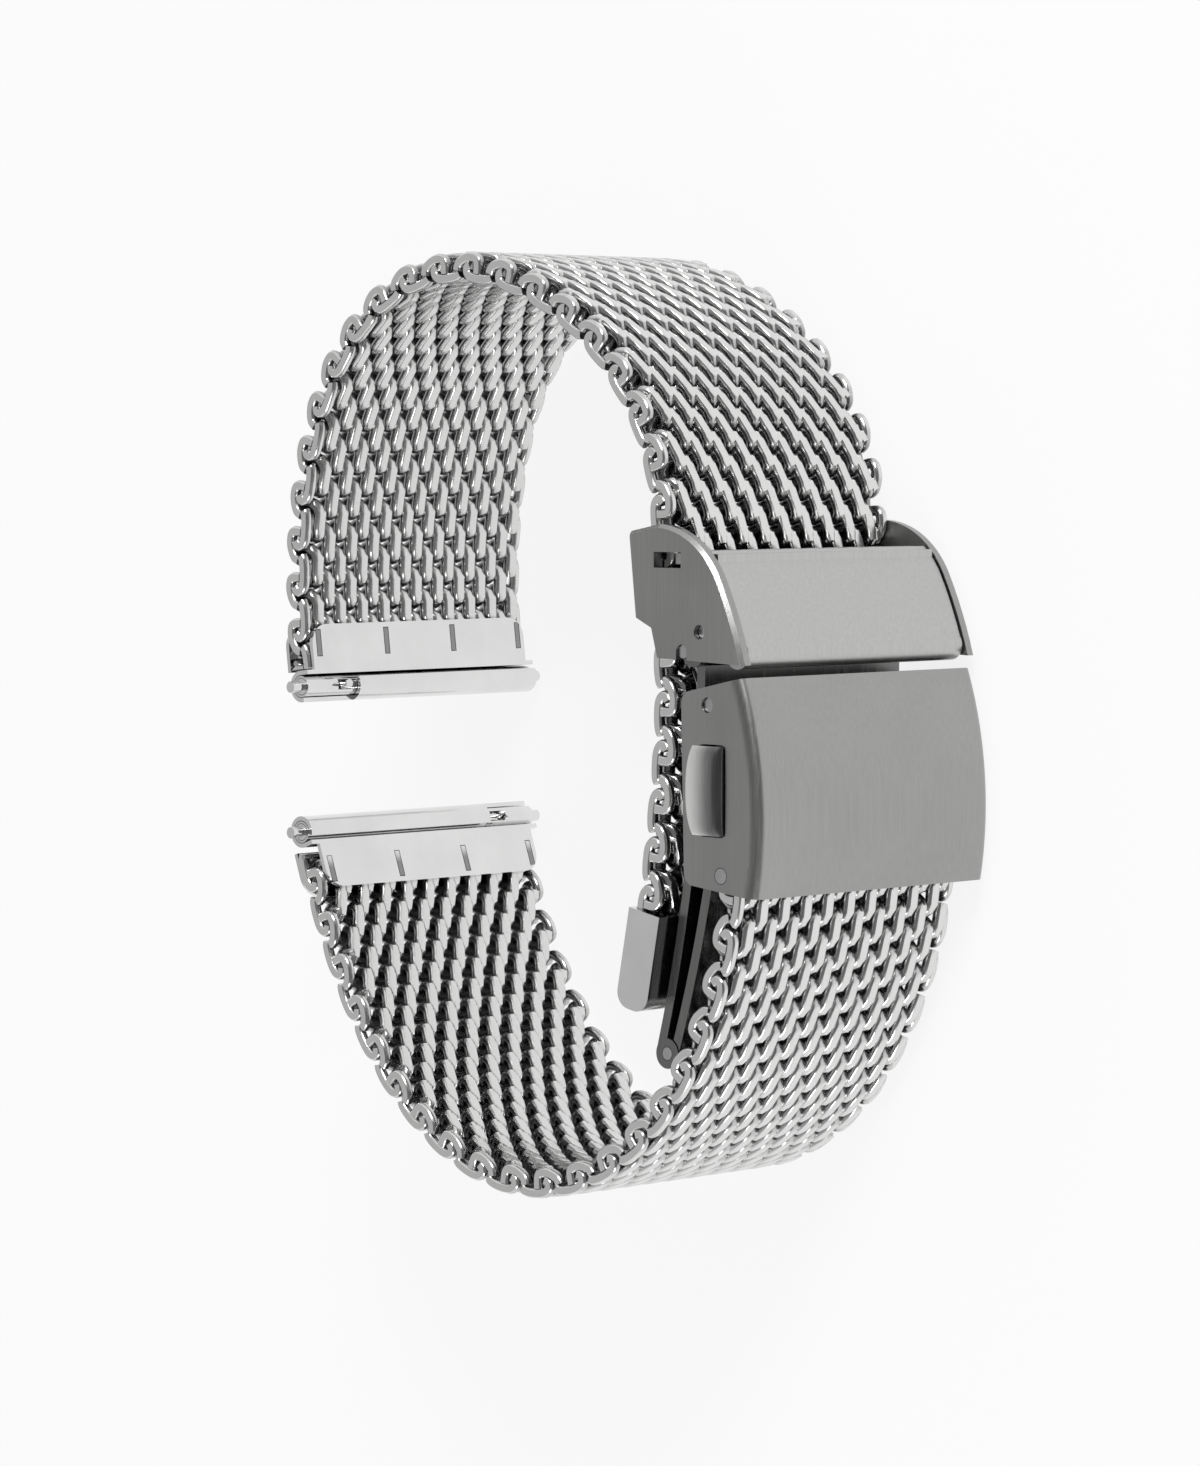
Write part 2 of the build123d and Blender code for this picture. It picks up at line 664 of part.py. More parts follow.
def make_fitting(name, last_row, wrist_side):
    """Inner plate with its rolled barrel, outer plate, retaining rod and spring bar."""
    plane = fitting_plane(last_row, wrist_side)
    half = barrel_length / 2
    ring_inner = barrel_radius - fitting_sheet
    mesh_inner_face = mesh_half - barrel_offset
    mesh_outer_face = -mesh_half - barrel_offset
    inner_low = mesh_inner_face + plate_gap
    inner_high = inner_low + fitting_sheet
    outer_low = mesh_outer_face - plate_gap - fitting_sheet

    seam = make_face(Polyline((0, 0), direction(0) * 2 * barrel_radius,
                              direction(barrel_seam_angle) * 2 * barrel_radius, close=True))
    rolled = Circle(barrel_radius) - Circle(ring_inner) - seam
    riser = Pos(barrel_radius - fitting_sheet / 2, inner_high / 2) \
        * Rectangle(fitting_sheet, inner_high)
    barrel = across_band(rolled + riser, half)
    barrel -= block((-barrel_radius - overrun, lever_window_floor, -half - overrun),
                    (ring_inner - seat_clearance, barrel_radius + overrun,
                     lever_window_length - half))
    inner = barrel + flat_plate(ring_inner, inner_low)
    for slot in tab_block(tab_clearance, inner_low - overrun, inner_high + overrun):
        inner -= slot
    pieces[f"{name}_inner_plate"] = plane * inner

    outer = flat_plate(barrel_radius, outer_low)
    for tab in tab_block(0, outer_low, inner_high):
        outer += tab
    pieces[f"{name}_outer_plate"] = plane * outer

    rod_place = Vector(fitting_mesh_gap + retaining_rod_inset, -barrel_offset)
    rod_half = mesh_width / 2 + retaining_rod_reach
    pieces[f"{name}_retaining_rod"] = plane * pin(rod_place, retaining_rod_radius, rod_half)
    cuts = [plane * pin(rod_place, retaining_rod_radius + running_clearance, mesh_width)]
    cuts += [plane * slot for slot in tab_block(tab_clearance, outer_low, inner_high)]

    tube_radius = ring_inner - seat_clearance
    tube_bore = tube_radius - bar_wall
    knob_place = lever_knob_from_end - half
    slot_half = lever_knob_radius + lever_slot_clearance
    tube = across_band(Circle(tube_radius) - Circle(tube_bore), half)
    tube -= block((-slot_half, 0, knob_place - slot_half),
                  (slot_half, barrel_radius, knob_place + slot_half + bar_tip_reach))
    pieces[f"{name}_bar_tube"] = plane * tube

    plunger_radius = tube_bore - running_clearance
    fixed = bar_pin(plunger_radius, bar_half_length - fixed_pin_length, half, bar_half_length)
    pieces[f"{name}_bar_fixed_pin"] = plane * fixed

    pin_end = knob_place + lever_pin_tail
    sliding = Rot(180, 0, 0) * bar_pin(plunger_radius, -pin_end, half, bar_half_length)
    knob_top = barrel_radius + lever_knob_height
    knob = Pos(0, knob_top / 2, knob_place) * Rot(90, 0, 0) * Cylinder(lever_knob_radius, knob_top)
    pieces[f"{name}_bar_lever_pin"] = plane * (sliding + knob)

    spring_end = bar_half_length - fixed_pin_length
    ring = Circle(plunger_radius) - Circle(plunger_radius - bar_spring_wall)
    spring = Pos(0, 0, pin_end) * extrude(ring, amount=spring_end - pin_end)
    pieces[f"{name}_bar_spring"] = plane * spring
    joints[f"{name}_bar"] = plane.origin
    joints[f"{name}_bar_spring_end"] = (plane * Pos(0, 0, spring_end)).position
    return cuts


def build():
    """Makes every piece, stands the band on its edge and writes one file per piece."""
    long_end, short_end, tail_end = make_meshes()
    make_end_cap(tail_end)
    make_cover()
    make_buttons()
    make_blades()
    make_slider()
    make_flap()
    for cut in make_fitting("upper", long_end, 1):
        pieces[f"long_mesh_{len(long_half_bends)}"] -= cut
    for cut in make_fitting("lower", short_end, -1):
        pieces[f"short_mesh_{len(short_half_bends)}"] -= cut

    boxes = [piece.bounding_box() for piece in pieces.values()]
    low = Vector(*(min(getattr(box.min, axis) for box in boxes) for axis in "XYZ"))
    high = Vector(*(max(getattr(box.max, axis) for box in boxes) for axis in "XYZ"))
    shift = Vector(-(low.X + high.X) / 2, -(low.Y + high.Y) / 2, -low.Z)
    for name, piece in pieces.items():
        export_step(Pos(shift.X, shift.Y, shift.Z) * piece, f"parts/{name}.step")
    joints.update(cover_hinge=cover_hinge, blade_hinge=blade_hinge, slider_hinge=slider_hinge,
                  flap_hinge=flap_hinge, mesh_mouth=mesh_mouth)
    for name, place in joints.items():
        moved = place + shift
        print(f"{name} {moved.X:.4f} {moved.Y:.4f} {moved.Z:.4f}")
    print(f"size {high.X - low.X:.2f} {high.Y - low.Y:.2f} {high.Z - low.Z:.2f}")


build()
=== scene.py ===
import math

import bpy
import numpy as np
from mathutils import Matrix, Vector


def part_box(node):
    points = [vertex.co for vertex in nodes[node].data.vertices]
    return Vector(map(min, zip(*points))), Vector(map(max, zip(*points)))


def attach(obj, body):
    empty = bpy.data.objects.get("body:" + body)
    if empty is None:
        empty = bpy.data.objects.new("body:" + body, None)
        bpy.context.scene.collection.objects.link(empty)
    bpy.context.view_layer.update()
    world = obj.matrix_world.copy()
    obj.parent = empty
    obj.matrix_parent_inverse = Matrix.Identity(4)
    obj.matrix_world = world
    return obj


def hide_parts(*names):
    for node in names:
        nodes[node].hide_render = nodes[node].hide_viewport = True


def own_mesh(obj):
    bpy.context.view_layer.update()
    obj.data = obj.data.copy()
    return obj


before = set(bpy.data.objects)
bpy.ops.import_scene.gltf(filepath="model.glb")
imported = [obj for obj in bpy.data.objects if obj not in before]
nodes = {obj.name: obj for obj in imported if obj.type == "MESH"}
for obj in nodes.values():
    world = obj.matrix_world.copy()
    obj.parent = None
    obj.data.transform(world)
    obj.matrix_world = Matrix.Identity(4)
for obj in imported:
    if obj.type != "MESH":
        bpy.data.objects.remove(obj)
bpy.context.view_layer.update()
MM = 0.001


# Camera where the photograph was taken from, in front of the clasp and as high above it, with
# the loop's X axis pointing up in the image. The image is 1200 by 1466, and its long side sets
# the field of view.
image_height = 1466
focal_pixels = 5190
camera_place = Vector((19.42, -248.52, 262.71)) * MM
camera_forward = Vector((-0.0576, 0.7059, -0.7059)).normalized()
image_top = Vector((0.9983, 0.0407, -0.0407))
camera_right = camera_forward.cross(image_top).normalized()
camera_up = camera_right.cross(camera_forward)
camera_turn = Matrix((camera_right, camera_up, -camera_forward)).transposed()


def add_object(name, data):
    """A new object in the scene that shows the given data."""
    added = bpy.data.objects.new(name, data)
    bpy.context.scene.collection.objects.link(added)
    return added


camera = add_object("camera", bpy.data.cameras.new("camera"))
camera.data.lens = camera.data.sensor_width * focal_pixels / image_height
camera.data.clip_start = 0.01
camera.data.clip_end = 10
camera.matrix_world = Matrix.Translation(camera_place) @ camera_turn.to_4x4()
bpy.context.scene.camera = camera
bpy.context.scene.view_settings.view_transform = "Standard"


# Woven mesh, in millimetres: flattened steel wire spirals that hook through each other, ground
# to satin flats on both faces and both side edges, with the round wire between them duller.
# Deep inside the weave its colour is darkened further as painted shade. Every row is one
# spiral across the whole width, shifted by half a turn from the row before it.
row_pitch = 1.6
mesh_half = 1.05
mesh_half_width = 10.4
mesh_middle_height = 11.9
front_half_width = 0.41
back_half_width = 0.51
wire_half_height = 0.43
turn_pitch = 2.08
turns_per_row = 10
turn_half_length = 1.27
outer_depth = 0.8
inner_depth = 0.735
front_lean = 0.34
back_lean = 0.06
bend_steps = 6
ring_angles = (0, 20, 38, 51, 78, 110, 145, 180, 215, 250, 282, 309, 322, 340)
ground_edge_angle = 38
edge_hook_depth = 0.55
hook_radius = 0.37
hook_grind = 0.28
hook_steps = 3
outer_hook = ((2.0, -0.2), (1.85, 0.2), (1.4, 0.5), (0.8, 0.68), (0.2, 0.6), (0.0, 0.25),
              (0.0, -0.4))
inner_hook = ((0.7, 0.15), (1.0, -0.05), (0.95, -0.42), (0.5, -0.68), (-0.4, -0.72),
              (-1.2, -0.62), (-1.5, -0.45))
# The dark wire colour is painted shade deep inside the weave; the light one is the ground flats.
wire_shaded_dark = (0.27, 0.27, 0.27)
wire_bright = (0.74, 0.74, 0.735)
wire_shade_depth = 0.25
wire_rounding = 0.88
wire_flat = 0.99
rounding_share = 0.66
wire_plain_share = 0.8
wire_fleck_share = 0.25
wire_line_share = 0.15
mark_depth = 0.02 * MM


def turn_path():
    """One turn of the spiral as length, depth, advance and outward angle."""
    bend_radius = (outer_depth + inner_depth) / 2
    middle_depth = (outer_depth - inner_depth) / 2
    straight = turn_half_length - bend_radius
    front_step = 2 * straight * front_lean
    back_step = -2 * straight * back_lean
    bend_step = (turn_pitch - front_step - back_step) / 2
    points = [(-straight, outer_depth, 0, 90)]
    for side, start in ((1, front_step), (-1, front_step + bend_step + back_step)):
        for step in range(bend_steps + (side > 0)):
            share = step / bend_steps
            angle = 90 * side - 180 * share
            points.append((side * straight + bend_radius * math.cos(math.radians(angle)),
                           middle_depth + bend_radius * math.sin(math.radians(angle)),
                           start + bend_step * share, angle))
    return np.array(points)


def sweep(centre, outward, half_height, half_width):
    """Oval rings of points round a centre line, turned to a given outward direction."""
    tangent = np.gradient(centre, axis=0)
    tangent /= np.linalg.norm(tangent, axis=1, keepdims=True)
    outward = outward - tangent * np.sum(tangent * outward, axis=1, keepdims=True)
    outward /= np.linalg.norm(outward, axis=1, keepdims=True)
    side = np.cross(tangent, outward)
    around = np.radians(ring_angles)
    return centre[:, None] + half_height * np.cos(around)[None, :, None] * outward[:, None] \
        + np.reshape(half_width, (-1, 1, 1)) * np.sin(around)[None, :, None] * side[:, None]


def spiral(shift, turned_over):
    """Rings of one row's wire as length, depth and place across the band."""
    turn = turn_path()
    advance = turn[:, 2] - turn_pitch / 4
    lengths, depths, across, angles = [], [], [], []
    for number in range(-1, turns_per_row + 1):
        lengths.append(turn[:, 0])
        depths.append(turn[:, 1])
        across.append(advance + (number - turns_per_row / 2 + shift) * turn_pitch)
        angles.append(turn[:, 3] - 360 * number)
    centre = np.stack([np.concatenate(column) for column in (lengths, depths, across)], axis=1)
    angle = np.radians(np.concatenate(angles))
    inside = np.abs(centre[:, 2]) < mesh_half_width - edge_hook_depth
    outward = np.stack([np.cos(angle), np.sin(angle), np.zeros(len(angle))], axis=1)
    half_width = (front_half_width + back_half_width) / 2 \
        + (front_half_width - back_half_width) / 2 * np.sin(angle)
    rings = sweep(centre, outward, wire_half_height, half_width)[inside]
    if turned_over:
        rings[:, :, :2] *= -1
    return rings


def hook(corners, end_sign, turned_over):
    """One ground end hook at a side edge, smoothed from corners given as length and depth."""
    corners = np.array(corners)
    ends = np.concatenate([[2 * corners[0] - corners[1]], corners,
                           [2 * corners[-1] - corners[-2]]])
    line = []
    for number in range(1, len(ends) - 2):
        p0, p1, p2, p3 = ends[number - 1:number + 3]
        for step in range(hook_steps):
            t = step / hook_steps
            line.append(p1 + (p2 - p0) * t / 2 + (2 * p0 - 5 * p1 + 4 * p2 - p3) * t ** 2 / 2
                        + (3 * p1 - p0 - 3 * p2 + p3) * t ** 3 / 2)
    line.append(corners[-1])
    line = np.array(line)
    if end_sign < 0:
        line[:, 0] *= -1
    if turned_over:
        line *= -1
    edge = np.full(len(line), end_sign * (mesh_half_width - hook_grind))
    centre = np.column_stack([line, edge])
    outward = np.zeros_like(centre)
    outward[:, 2] = end_sign
    return sweep(centre, outward, hook_radius, hook_radius)


def run_points(start, heading, pieces):
    """Points between the rows of a run, whose pieces are a name, a row count and a bend."""
    points = [np.array(start)]
    for _, row_count, bend in pieces:
        for _ in range(row_count):
            heading += bend
            step = np.array([math.cos(math.radians(heading)), math.sin(math.radians(heading))])
            points.append(points[-1] + row_pitch * step)
    return points


def along_run(points, length):
    """Place and inward direction on the smooth middle line of a run."""
    last = len(points) - 1
    share = np.clip(length / row_pitch, 0, last)
    corner = np.clip(np.round(share).astype(int), 1, last - 1)
    points = np.array(points)
    before = (points[corner - 1] + points[corner]) / 2
    after = (points[corner] + points[corner + 1]) / 2
    t = (share - corner + 0.5)[:, None]
    place = (1 - t) ** 2 * before + 2 * t * (1 - t) * points[corner] + t ** 2 * after
    tangent = (1 - t) * (points[corner] - before) + t * (after - points[corner])
    tangent /= np.linalg.norm(tangent, axis=1, keepdims=True)
    return place, np.stack([-tangent[:, 1], tangent[:, 0]], axis=1)


def closed_tubes(tubes):
    """Vertices and faces of tubes, each a list of rings with a flat face at both ends."""
    vertices, faces = [], []
    for rings in tubes:
        first = len(vertices)
        count = len(rings[0])
        last = first + count * (len(rings) - 1)
        for ring in rings:
            vertices.extend(tuple(point) for point in ring)
        for start in range(first, last, count):
            for point in range(count):
                a = start + point
                b = start + (point + 1) % count
                faces.append((a, b, b + count, a + count))
        faces.append(tuple(range(first, first + count))[::-1])
        faces.append(tuple(range(last, last + count)))
    return vertices, faces


def steel_piece(name, vertices, faces, material, sharp_angle=None):
    """A smooth mesh object, with edges kept sharp where faces meet at more than an angle."""
    mesh = bpy.data.meshes.new(name)
    mesh.from_pydata(vertices, [], faces)
    mesh.shade_smooth()
    if sharp_angle is not None:
        mesh.set_sharp_from_angle(angle=math.radians(sharp_angle))
    mesh.materials.append(material)
    return add_object(name, mesh)


class Value:
    """A shader socket that takes part in sums the way a number does."""

    def __init__(self, shade, socket):
        self.shade = shade
        self.socket = socket

    def math(self, operation, first, second):
        return self.shade.node("ShaderNodeMath", {"operation": operation}, {0: first, 1: second})

    def __add__(self, other):
        return self.math("ADD", self, other)

    def __sub__(self, other):
        return self.math("SUBTRACT", self, other)

    def __rsub__(self, other):
        return self.math("SUBTRACT", other, self)

    def __mul__(self, other):
        return self.math("MULTIPLY", self, other)

    __radd__ = __add__
    __rmul__ = __mul__

    def between(self, low, high):
        """Low where this value is 0, high where it is 1."""
        return self * (high - low) + low

    def part(self, low, high):
        """0 below low, 1 above high, smooth in between."""
        return self.shade.node("ShaderNodeMapRange", {"interpolation_type": "SMOOTHSTEP"},
                               {"Value": self, "From Min": low, "From Max": high})


class Shade:
    """The nodes that make one finish or one light, added to a node tree."""

    def __init__(self, tree):
        self.tree = tree

    def node(self, kind, settings, inputs, output=0):
        """A new node's output, after its settings and then its sockets are given."""
        made = self.tree.nodes.new(kind)
        for name, value in settings.items():
            setattr(made, name, value)
        for name, value in inputs.items():
            self.feed(made.inputs[name], value)
        return Value(self, made.outputs[output])

    def feed(self, socket, value):
        """Links a value to a socket, or sets the socket to a number or a colour."""
        if isinstance(value, Value):
            self.tree.links.new(value.socket, socket)
        else:
            socket.default_value = value


class Finish(Shade):
    """One material: its shader and the nodes that feed it."""

    def __init__(self, name, **constants):
        self.material = bpy.data.materials.new(name)
        self.material.use_nodes = True
        super().__init__(self.material.node_tree)
        self.shader = self.tree.nodes["Principled BSDF"]
        self.set(**constants)

    def set(self, **sockets):
        """Feeds the shader's sockets by name and gives the material."""
        for name, value in sockets.items():
            self.feed(self.shader.inputs[name.replace("_", " ").title()], value)
        return self.material

    def noise(self, per_metre, detail=2.0, roughness=0.5):
        """Grain with so many waves a metre along each axis of the object."""
        at = self.node("ShaderNodeTexCoord", {}, {}, "Object")
        stretched = self.node("ShaderNodeVectorMath", {"operation": "MULTIPLY"},
                              {0: at, 1: per_metre})
        return self.node("ShaderNodeTexNoise", {}, {"Vector": stretched, "Scale": 1.0,
                                                    "Detail": detail, "Roughness": roughness})

    def colour(self, factor, dark, light):
        """From the dark colour at 0 to the light one at 1."""
        return self.node("ShaderNodeMix", {"data_type": "RGBA"},
                         {0: factor, 6: (*dark, 1), 7: (*light, 1)}, 2)

    def marks(self, height, strength):
        """Shallow scratches in the surface, raised where height is high."""
        return self.node("ShaderNodeBump", {}, {"Strength": strength, "Distance": mark_depth,
                                                "Height": height})


wire_finish = Finish("mesh_steel", metallic=1.0)
wire_flecks = wire_finish.noise(per_metre=(900, 900, 900), detail=3.0)
wire_lines = wire_finish.noise(per_metre=(9000, 9000, 1500), detail=1.0)
# Painted shade: the wire's colour falls to its dark value where it lies deep inside the weave, and
# rises on the ground flats.
wire_open = wire_finish.node("ShaderNodeAttribute", {"attribute_name": "exposure"}, {}, "Fac")
wire_flats_and_shade = wire_open.part(wire_shade_depth, wire_rounding) * rounding_share \
    + wire_open.part(wire_rounding, wire_flat) * (1 - rounding_share)
wire_tone = wire_flats_and_shade * (wire_plain_share + wire_flecks * wire_fleck_share
                          + wire_lines * wire_line_share)
wire_material = wire_finish.set(
    base_color=wire_finish.colour(wire_tone, wire_shaded_dark, wire_bright),
    roughness=wire_flecks.between(0.16, 0.28),
    normal=wire_finish.marks(wire_lines, strength=0.12))


def wire_piece(name, points, rows, outer_side):
    """All wires of one rigid stretch of mesh as one object, with how open each point lies."""
    turned_over = outer_side > 0
    tubes = [(spiral(0.5 * (row % 2), turned_over), (row + 0.5) * row_pitch) for row in rows]
    tubes += [(hook(corners, end_sign, turned_over), (row + 1) * row_pitch) for row in rows
              if row % 2 == 0 for end_sign in (1, -1) for corners in (outer_hook, inner_hook)]
    bent_tubes, exposure = [], []
    for rings, middle in tubes:
        flat = rings.reshape(-1, 3)
        depth = np.clip(flat[:, 1], -mesh_half, mesh_half) * outer_side
        across = np.clip(flat[:, 2], -mesh_half_width, mesh_half_width)
        exposure.extend(np.maximum(np.abs(depth) / mesh_half,
                                   1 - (mesh_half_width - np.abs(across)) / hook_radius))
        place, inward = along_run(points, flat[:, 0] + middle)
        bent = np.column_stack([place + inward * depth[:, None], across + mesh_middle_height])
        bent_tubes.append((bent * MM).reshape(rings.shape))
    vertices, faces = closed_tubes(bent_tubes)
    if outer_side < 0:
        faces = [face[::-1] for face in faces]
    piece = steel_piece(name, vertices, faces, wire_material, ground_edge_angle)
    piece.data.attributes.new("exposure", "FLOAT", "POINT").data.foreach_set("value", exposure)
    return piece


def weave(pieces, points, outer_side):
    """Lays woven wire in the place of each piece of a run."""
    first_row = 0
    for name, row_count, _ in pieces:
        rows = range(first_row, first_row + row_count)
        wires = wire_piece(name + "_wires", points, rows, outer_side)
        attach(wires, name)
        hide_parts(name)
        first_row += row_count


# Adjustable half: the longer piece of woven mesh, from its loose tail through the slider that
# clamps it, and round to the upper fitting. It is stiff over a few rows and turns between them.
slider_mouth = (14.2068, -13.7094)
slider_lean = 1.7
segment_rows = 5
long_bends = (6.1, 4.6, 4.0, 5.5, 6.5, 5.2, 3.0, 2.2)
tail_pieces = [("slider_mesh", 7, 0), ("tail_mesh_1", 4, -2.0), ("tail_mesh_2", 8, -0.6)]
long_pieces = [(f"long_mesh_{number}", segment_rows, bend)
               for number, bend in enumerate(long_bends, 1)]
strap_points = run_points(slider_mouth, slider_lean + 180, tail_pieces)[::-1] \
    + run_points(slider_mouth, slider_lean, long_pieces)[1:]
weave(tail_pieces[::-1] + long_pieces, strap_points, -1)


# Fixed half: the shorter piece of the same woven mesh, turned over. It hangs on the strap pin
# in the clasp cover and runs round to the lower fitting.
strap_pin_mouth = (-8.8632, -19.9194)
strap_pin_heading = 177.6
short_bends = (-3.4, -3.3, -4.6, -5.8, -5.6, -4.3, -2.9, -1.7)
short_pieces = [(f"short_mesh_{number}", segment_rows, bend)
                for number, bend in enumerate(short_bends, 1)]
weave(short_pieces, run_points(strap_pin_mouth, strap_pin_heading, short_pieces), 1)


# Clasp cover and slider housing: stamped and folded steel sheet, brushed along the band and
# clouded by handling. The locking flap is the same sheet, brushed only, and paler.
cover_dark = (0.27, 0.27, 0.267)
cover_bright = (0.43, 0.43, 0.425)
cover_cloud_share = 0.3
flap_dark = (0.40, 0.40, 0.395)
flap_bright = (0.60, 0.60, 0.595)


def brushed_steel(name, dark, bright, cloud_share=0.0):
    """Steel brushed along the band, with a share of clouding."""
    finish = Finish(name, metallic=1.0, anisotropic=0.4)
    grain = finish.noise(per_metre=(120, 9000, 9000), detail=4.0, roughness=0.6)
    tone = grain
    if cloud_share:
        cloud = finish.noise(per_metre=(150, 150, 150))
        tone = grain * (1 - cloud_share) + cloud * cloud_share
    return finish.set(base_color=finish.colour(tone, dark, bright),
                      roughness=grain.between(0.24, 0.44),
                      normal=finish.marks(grain, strength=0.25))


def paint(material, *names):
    """Gives carried-over nodes their finish."""
    for name in names:
        nodes[name].data.materials.clear()
        nodes[name].data.materials.append(material)


paint(brushed_steel("brushed_steel", cover_dark, cover_bright, cover_cloud_share),
      "clasp_cover", "slider_housing")
paint(brushed_steel("flap_steel", flap_dark, flap_bright), "locking_flap")


# Fittings with their spring bars, and the folded cap on the tail: polished steel with soft
# clouding and faint handling marks. The tabs of each outer plate pass through the inner plate
# and are cut off flush, and their ends are painted dark as painted shade.
polished_dark = (0.70, 0.70, 0.70)
polished_bright = (0.84, 0.84, 0.835)
plate_bright = (0.76, 0.76, 0.755)
plate_cloud_share = 0.15
tab_end_painted_shade = (0.28, 0.28, 0.28)
tab_shade_depth = 0.3 * MM


def place_from_front(finish):
    """Y of the object, which runs from the front of the clasp towards the fittings."""
    at = finish.node("ShaderNodeTexCoord", {}, {}, "Object")
    return finish.node("ShaderNodeSeparateXYZ", {}, {"Vector": at}, "Y")


def polished_steel(name, dark, bright, tab_ends=None):
    """Polished steel, with painted shade at the cut ends of its tabs where it has any."""
    finish = Finish(name, metallic=1.0)
    handling = finish.noise(per_metre=(2500, 400, 2500))
    tone = finish.noise(per_metre=(300, 300, 300), detail=3.0)
    if tab_ends is not None:
        # Painted shade: the plate is coloured dark at the ends of its tabs.
        face = place_from_front(finish).part(tab_ends + tab_shade_depth,
                                             tab_ends + 2 * tab_shade_depth)
        tone = face * tone.between(1 - plate_cloud_share, 1)
    return finish.set(base_color=finish.colour(tone, dark, bright),
                      roughness=handling.between(0.08, 0.18),
                      normal=finish.marks(handling, strength=0.04))


paint(polished_steel("polished_steel", polished_dark, polished_bright), "tail_end_cap",
      *(f"{half}_{piece}" for half in ("upper", "lower")
        for piece in ("inner_plate", "bar_tube", "bar_fixed_pin", "bar_lever_pin")))
for name in ("upper_outer_plate", "lower_outer_plate"):
    paint(polished_steel(name + "_steel", tab_end_painted_shade, plate_bright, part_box(name)[0].y), name)


# Push buttons in both flanges: solid steel barrels that stand proud of the flange, each with a
# flat shoulder behind the sheet, a stem that slides in the bracket and a catch for the blade.
# The cap has its ridge near the front. Its colour holds a painted highlight on the slope behind
# the ridge and painted shade towards the front.
button_painted_shade = (0.13, 0.13, 0.13)
button_painted_highlight = (0.98, 0.98, 0.97)
button_shade_depth = 0.95 * MM
button_highlight_depth = 0.55 * MM
button_line_share = 0.15
button_overlap = 0.35 * MM
button_sheet = 0.8 * MM
button_reach = 0.6 * MM
button_step = 0.08 * MM
button_edge_angle = 40
ridge_from_front = 0.8 * MM
crown_fall = 0.2
end_fall = 0.35
end_fall_power = 10
rear_fall = 0.5
rear_fall_power = 1.4
rear_bow = 0.5 * MM
rear_bow_power = 2.5
shoulder_thickness = 0.3 * MM
shoulder_gap = 0.05 * MM
back_corner = 1.4 * MM
front_corner = 0.3 * MM
stem_radius = 0.5 * MM
stem_from_front = 0.95 * MM
catch_length = 1.0 * MM
catch_width = 0.8 * MM
catch_drop = 0.35 * MM
corner_steps = 8
cap_cuts = 24
front_cuts = 8
rear_cuts = 7
stem_sides = 24

# Painted light: the cap is coloured bright towards its rear as a painted highlight and dark towards
# its front as painted shade, with faint lines over both.
button_finish = Finish("button_steel", metallic=1.0)
button_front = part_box("push_button_near")[0].y + button_shade_depth
button_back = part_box("push_button_near")[1].y - button_highlight_depth
button_highlight_share = place_from_front(button_finish).part(button_front, button_back)
button_lines = button_finish.noise(per_metre=(300, 6000, 6000))
button_light_and_lines = button_highlight_share * (1 - button_line_share) + button_lines * button_line_share
button_painted_material = button_finish.set(
    base_color=button_finish.colour(button_light_and_lines, button_painted_shade, button_painted_highlight),
    roughness=button_lines.between(0.14, 0.26),
    normal=button_finish.marks(button_lines, strength=0.08))


def rounded_outline(low, high, front_radius, back_radius):
    """Points of a rectangle in plan with its own corner radius at the front and the back."""
    points = []
    for x, y, x_side, y_side, radius, start in (
            (high[0], high[1], -1, -1, back_radius, 0), (low[0], high[1], 1, -1, back_radius, 90),
            (low[0], low[1], 1, 1, front_radius, 180), (high[0], low[1], -1, 1, front_radius, 270)):
        for step in range(corner_steps + 1):
            angle = math.radians(start + 90 * step / corner_steps)
            points.append((x + x_side * radius + radius * math.cos(angle),
                           y + y_side * radius + radius * math.sin(angle)))
    return points


def prism(outline, *heights):
    """The same outline at each height."""
    return [[(x, y, height) for x, y in outline] for height in heights]


def cap_profile(along, front, rear):
    """Cap's height from its front to its rear, at a share of its half length along it."""
    ridge = front + ridge_from_front
    crown = (button_reach - button_step) \
        * (1 - crown_fall * along ** 2 - end_fall * abs(along) ** end_fall_power)
    profile = []
    for step in range(front_cuts + 1):
        turn = math.pi / 2 * step / front_cuts
        profile.append((ridge - ridge_from_front * math.cos(turn), crown * math.sin(turn)))
    for step in range(1, rear_cuts + 1):
        share = step / rear_cuts
        profile.append((ridge + (rear - ridge) * share,
                        crown * (1 - rear_fall * share ** rear_fall_power)))
    return profile


